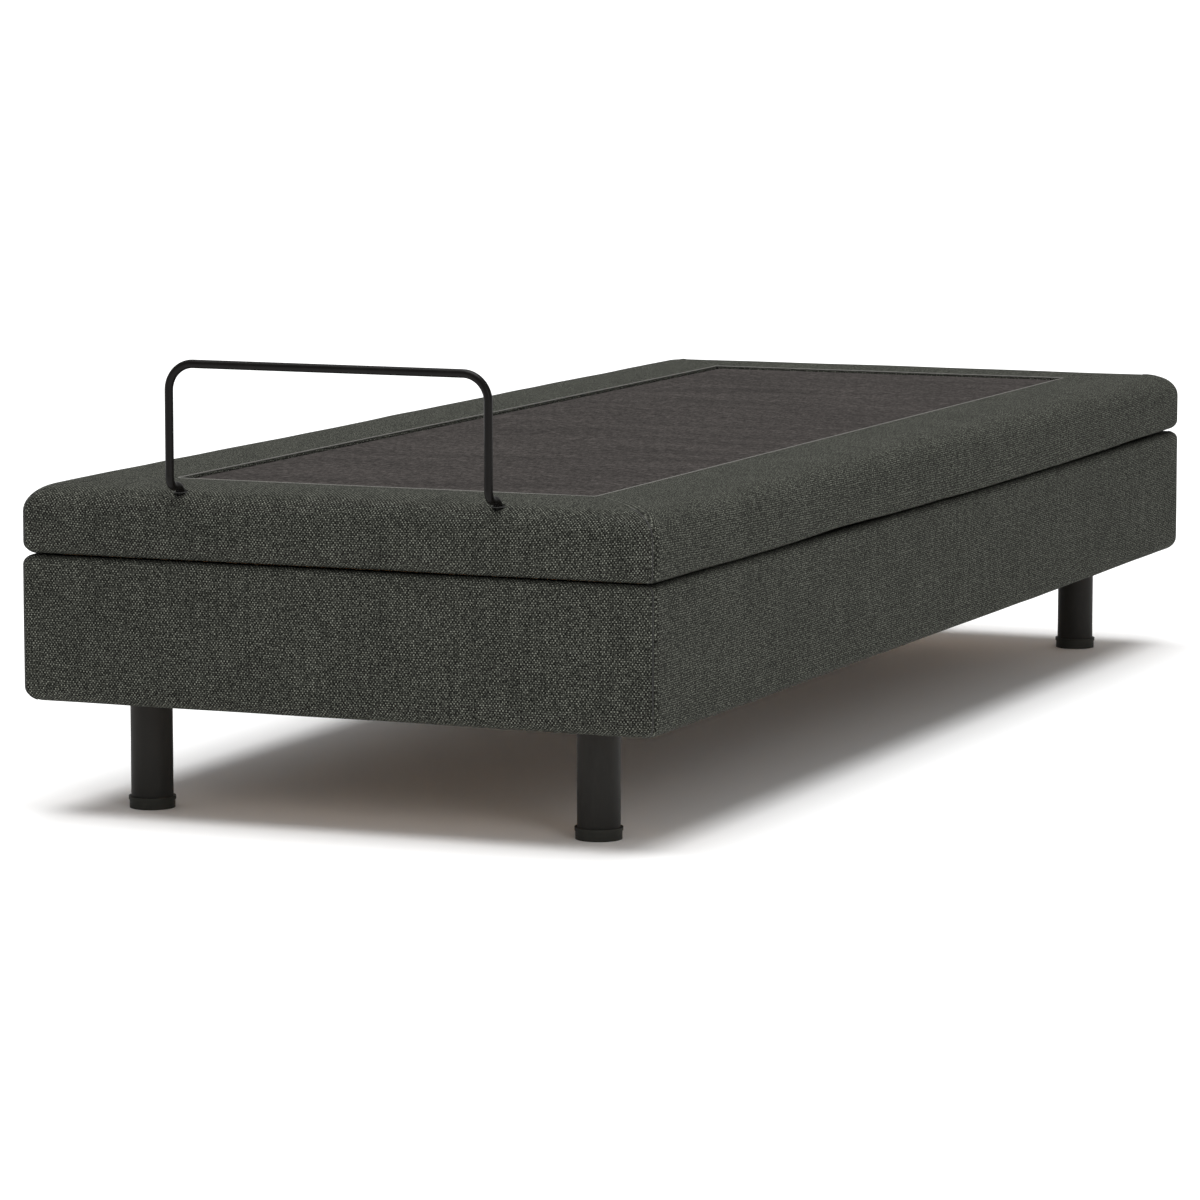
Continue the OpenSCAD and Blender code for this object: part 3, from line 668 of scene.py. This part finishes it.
def add_deck_side(add):
    """Rounded top edge, upright side, rounded lower edge and the turn-in below."""
    for step in range(13):
        turn = math.pi / 2 * step / 12
        inset = TOP_R * (1 - math.sin(turn))
        z = DECK_TOP - TOP_R * (1 - math.cos(turn))
        add(outer_loop(inset, CORNER_LOW + (CORNER_TOP - CORNER_LOW) * inset / TOP_R), z)
    side_low = DECK_BOTTOM + LOW_R
    side_high = DECK_TOP - TOP_R
    for step in range(1, 6):
        add(outer_loop(0, CORNER_LOW), side_high + (side_low - side_high) * step / 6)
    for step in range(7):
        turn = math.pi / 2 * step / 6
        inset = LOW_R * (1 - math.cos(turn))
        add(outer_loop(inset, CORNER_LOW), side_low - LOW_R * math.sin(turn))
    add(outer_loop(20 * MM, CORNER_LOW), DECK_BOTTOM + 0.3 * MM, 0)
    add(outer_loop(33 * MM, CORNER_LOW), DECK_BOTTOM + 0.6 * MM, 0)
    add(outer_loop(33 * MM, CORNER_LOW), SKIRT_BOTTOM - 0.4 * MM, 0)


def add_deck_inside(add, inner):
    """Along the boards and over the panel, back to the inner edge."""
    inside = HALF_WIDTH - PANEL_EDGE - 0.4 * MM
    by_panel = outer_loop(inside, CORNER_LOW)
    by_skirt = by_panel.copy()
    foot_side = by_skirt[:, 1] < SKIRT_FOOT_Y
    by_skirt[foot_side, 1] = SKIRT_FOOT_Y - 0.4 * MM
    add(by_skirt, SKIRT_BOTTOM - 0.4 * MM, 0)
    add(by_skirt, PANEL_BOTTOM - 0.4 * MM, 0)
    add(by_panel, PANEL_BOTTOM - 0.4 * MM, 0)
    add(by_panel, PANEL_TOP + 0.4 * MM, 0)
    add(inner + (by_panel - inner) * 0.5, PANEL_TOP + 0.4 * MM, 0)
    add(inner + (by_panel - inner) * 0.02, PANEL_TOP + 0.4 * MM, 0)


def make_deck_cover(materials):
    loops, shown, first_round = deck_loops()
    whole, mask = closed_ring("deck_cover", loops, shown, first_round, 3)
    co = coordinates(whole.data)
    swell = 1.1 * MM * softness(co, 1.0) * mask
    co = co + normals(whole.data) * swell[:, None]
    lowness = np.clip((DECK_BOTTOM + 30 * MM - co[:, 2]) / (30 * MM), 0, 1)
    y = calm_y(co[:, 1])
    co[:, 2] += lowness * (seam_lift(y) - seam_sag(co))
    settle(whole.data, co)
    whole.data.materials.append(materials["deck_fabric"])
    corner_seams("deck_seam", co.reshape(len(loops), -1, 3)[first_round:first_round + 25],
                 materials["thread_dark"], "calf", "back")
    bore_rod_holes(whole)
    fold_in_three(whole, "deck_cover",
                  (("back_padding",), ("thigh_padding", "seat_padding"), ("calf_padding",)))


def bore_rod_holes(whole):
    """Round holes for the retainer's two ends and their sockets."""
    for side in (-1, 1):
        bpy.ops.mesh.primitive_cylinder_add(vertices=40, radius=7.9 * MM, depth=0.12,
                                            location=(side * ROD_X, ROD_Y, DECK_TOP - 0.008))
        drill = bpy.context.object
        cut = whole.modifiers.new("hole", "BOOLEAN")
        cut.operation = "DIFFERENCE"
        cut.solver = "EXACT"
        cut.object = drill
        bpy.context.view_layer.objects.active = whole
        bpy.ops.object.modifier_apply(modifier=cut.name)
        bpy.data.objects.remove(drill)


def tube(name, path, radius, material, closed=False, sides=7):
    """Thin round thread along a path of points."""
    path = [Vector(point) for point in path]
    count = len(path)
    rings, faces = [], []
    for index, point in enumerate(path):
        before = path[(index - 1) % count] if closed or index else point
        after = path[(index + 1) % count] if closed or index < count - 1 else point
        along = (after - before).normalized()
        side = along.cross(Vector((0, 0, 1)))
        side = side.normalized() if side.length > 0.05 else Vector((1, 0, 0))
        up = side.cross(along).normalized()
        for step in range(sides):
            turn = 2 * math.pi * step / sides
            rings.append(point + radius * (math.cos(turn) * side + math.sin(turn) * up))
    for index in range(count if closed else count - 1):
        here, ahead = index * sides, (index + 1) % count * sides
        for step in range(sides):
            after = (step + 1) % sides
            faces.append((here + step, here + after, ahead + after, ahead + step))
    if not closed:
        faces.append(tuple(range(sides))[::-1])
        faces.append(tuple((count - 1) * sides + step for step in range(sides)))
    mesh = bpy.data.meshes.new(name)
    mesh.from_pydata([tuple(point) for point in rings], [], faces)
    mesh.materials.append(material)
    piece = bpy.data.objects.new(name, mesh)
    bpy.context.scene.collection.objects.link(piece)
    turn_outward(piece)
    return piece


def corner_seams(stem, grid, material, foot_body, head_body):
    """One sewn seam down each rounded corner, lying on the cover's own surface."""
    per_side = CORNER_STATIONS + SIDE_STATIONS - 1
    per_end = CORNER_STATIONS + END_STATIONS - 1
    plan = [("foot_right", 3, foot_body), ("head_right", per_side + 8, head_body),
            ("head_left", per_side + per_end + 3, head_body),
            ("foot_left", 2 * per_side + per_end + 8, foot_body)]
    for corner, column, body in plan:
        piece = tube(f"{stem}_{corner}", grid[:, column], 0.8 * MM, material)
        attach(piece, body)


def make_eyelets(materials):
    """Sewn rings in the cover where the retainer goes in."""
    for name, side in (("left", -1), ("right", 1)):
        ring = [(side * ROD_X + 8 * MM * math.cos(turn), ROD_Y + 8 * MM * math.sin(turn),
                 DECK_TOP - 2.2 * MM)
                for turn in np.linspace(0, 2 * math.pi, 36, endpoint=False)]
        piece = tube(f"rod_eyelet_{name}", ring, 0.7 * MM, materials["thread_dark"], True)
        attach(piece, "calf")


# ---- Mat ----

def mat_points(columns, rows):
    """Soft-edged top of the mat, and its underside, raised round the border's inner edge."""
    low_corner, high_corner = MAT_LOW, MAT_HIGH + Vector((0, 0, 1 * MM))
    xs = np.linspace(low_corner.x, high_corner.x, columns + 1)
    ys = np.linspace(low_corner.y, high_corner.y, rows + 1)
    grid_x, grid_y = np.meshgrid(xs, ys)
    top = np.column_stack([grid_x.ravel(), grid_y.ravel(),
                           np.full(grid_x.size, high_corner.z)])
    edge = np.minimum.reduce([top[:, 0] - low_corner.x, high_corner.x - top[:, 0],
                              top[:, 1] - low_corner.y, high_corner.y - top[:, 1]])
    top[:, 2] -= 2.2 * MM * np.exp(-edge / (6 * MM))
    top[:, 2] += 0.5 * MM * softness(top, 4.0) * np.clip(edge / (40 * MM), 0, 1)
    bottom = top.copy()
    bottom[:, 2] = low_corner.z + 0.4 * MM + 2.6 * MM * (edge < 20 * MM)
    return top, bottom


def slab_faces(columns, rows):
    """Faces of a slab whose top points come first and whose underside points follow."""
    count = (columns + 1) * (rows + 1)
    faces = []
    for row in range(rows):
        for column in range(columns):
            a = row * (columns + 1) + column
            b, c, d = a + 1, a + columns + 2, a + columns + 1
            faces.append((a, b, c, d))
            faces.append((a + count, d + count, c + count, b + count))
    rim = (list(range(columns)) +
           [r * (columns + 1) + columns for r in range(rows)] +
           [rows * (columns + 1) + columns - c for c in range(columns)] +
           [(rows - r) * (columns + 1) for r in range(rows)])
    for here, ahead in zip(rim, rim[1:] + rim[:1]):
        faces.append((ahead, here, here + count, ahead + count))
    return faces


def make_mat(materials):
    """Thin padded slab, cut in three where the deck folds."""
    columns, rows = 48, 160
    top, bottom = mat_points(columns, rows)
    mesh = bpy.data.meshes.new("mat")
    mesh.from_pydata(np.concatenate([top, bottom]).tolist(), [], slab_faces(columns, rows))
    layer = mesh.uv_layers.new(name="UVMap")
    for corner in mesh.loops:
        place = mesh.vertices[corner.vertex_index].co
        layer.data[corner.index].uv = (place.x, place.y)
    whole = bpy.data.objects.new("mat", mesh)
    bpy.context.scene.collection.objects.link(whole)
    turn_outward(whole)
    whole.data.materials.append(materials["mat_fabric"])
    fold_in_three(whole, "mat",
                  (("back_mat",), ("thigh_mat", "seat_mat"), ("calf_mat",)))


def make_mat_stitching_with_rim_highlight(materials):
    """Thin raised seam thread where the mat meets the border; its light grey is partly real thread colour and
    partly painted highlight for the border's rim edge.
    """
    radius = 0.9 * MM
    sides = 8
    loops = []
    for step in range(sides):
        turn = 2 * math.pi * step / sides
        out = radius * math.cos(turn) + 2.4 * MM
        points = rounded_loop(MAT_HIGH.x + out, MAT_LOW.y - out, MAT_HIGH.y + out, 4 * MM + out)
        loops.append(level(points, DECK_TOP - 0.2 * MM + radius * math.sin(turn)))
    whole, _ = closed_ring("mat_seam_with_rim_highlight", loops, [0] * sides)
    whole.data.materials.append(materials["thread_with_rim_highlight"])
    fold_in_three(whole, "mat_seam_with_rim_highlight")


# ---- Box cover ----

def box_loops(board_low, board_high):
    """Closed cross-section of the box cover round the boards, as loops round the bed."""
    top_r, low_r = 11 * MM, 17 * MM
    corner = 8 * MM
    inside = HALF_WIDTH - BOARD_EDGE - 0.4 * MM
    lip = 24 * MM
    top_lip = HALF_WIDTH - low("side_board_right").x + 1 * MM

    loops, shown = [], []

    def add(inset, z, show=1.0):
        loops.append(level(outer_loop(inset, corner), z))
        shown.append(show)

    add(top_lip, BOX_TOP - 0.4 * MM, 0)
    add(14 * MM, BOX_TOP - 0.2 * MM, 0.3)
    for step in range(7):
        turn = math.pi / 2 * step / 6
        add(top_r * (1 - math.sin(turn)), BOX_TOP - top_r * (1 - math.cos(turn)))
    bottom = BOX_BOTTOM - 1 * MM
    face_high, face_low = BOX_TOP - top_r, bottom + low_r
    for step in range(1, 10):
        add(0, face_high + (face_low - face_high) * step / 10)
    for step in range(8):
        turn = math.pi / 2 * step / 7
        add(low_r * (1 - math.cos(turn)), face_low - low_r * math.sin(turn))
    add(lip, bottom + 0.2 * MM, 0)
    add(lip, board_low - 0.3 * MM, 0)
    add(inside, board_low - 0.3 * MM, 0)
    add(inside, board_high + 0.3 * MM, 0)
    add(top_lip, board_high + 0.3 * MM, 0)
    return loops, shown


def make_box_cover(materials):
    board_low = low("side_board_right").z
    board_high = high("side_board_right").z
    loops, shown = box_loops(board_low, board_high)
    whole, mask = closed_ring("box_cover", loops, shown, 2)
    co = coordinates(whole.data)
    co = co + normals(whole.data) * (0.9 * MM * softness(co, 2.6) * mask)[:, None]
    highness = np.clip((co[:, 2] - BOX_TOP + 40 * MM) / (40 * MM), 0, 1)
    outside = (mask > 0) | (co[:, 2] > board_high + 0.35 * MM)
    co[:, 2] -= highness * outside * seam_sag(co)
    settle(whole.data, co)
    whole.data.materials.append(materials["box_fabric"])
    corner_seams("box_seam", co.reshape(len(loops), -1, 3)[3:24], materials["thread_dark"],
                 "base", "base")
    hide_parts("box_cover_left", "box_cover_right", "box_cover_foot", "box_cover_head")
    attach(whole, "base")


make_camera()
make_studio()
MATERIALS = make_materials()
dress_frame(MATERIALS)
make_deck_cover(MATERIALS)
make_mat(MATERIALS)
make_mat_stitching_with_rim_highlight(MATERIALS)
make_box_cover(MATERIALS)
make_eyelets(MATERIALS)
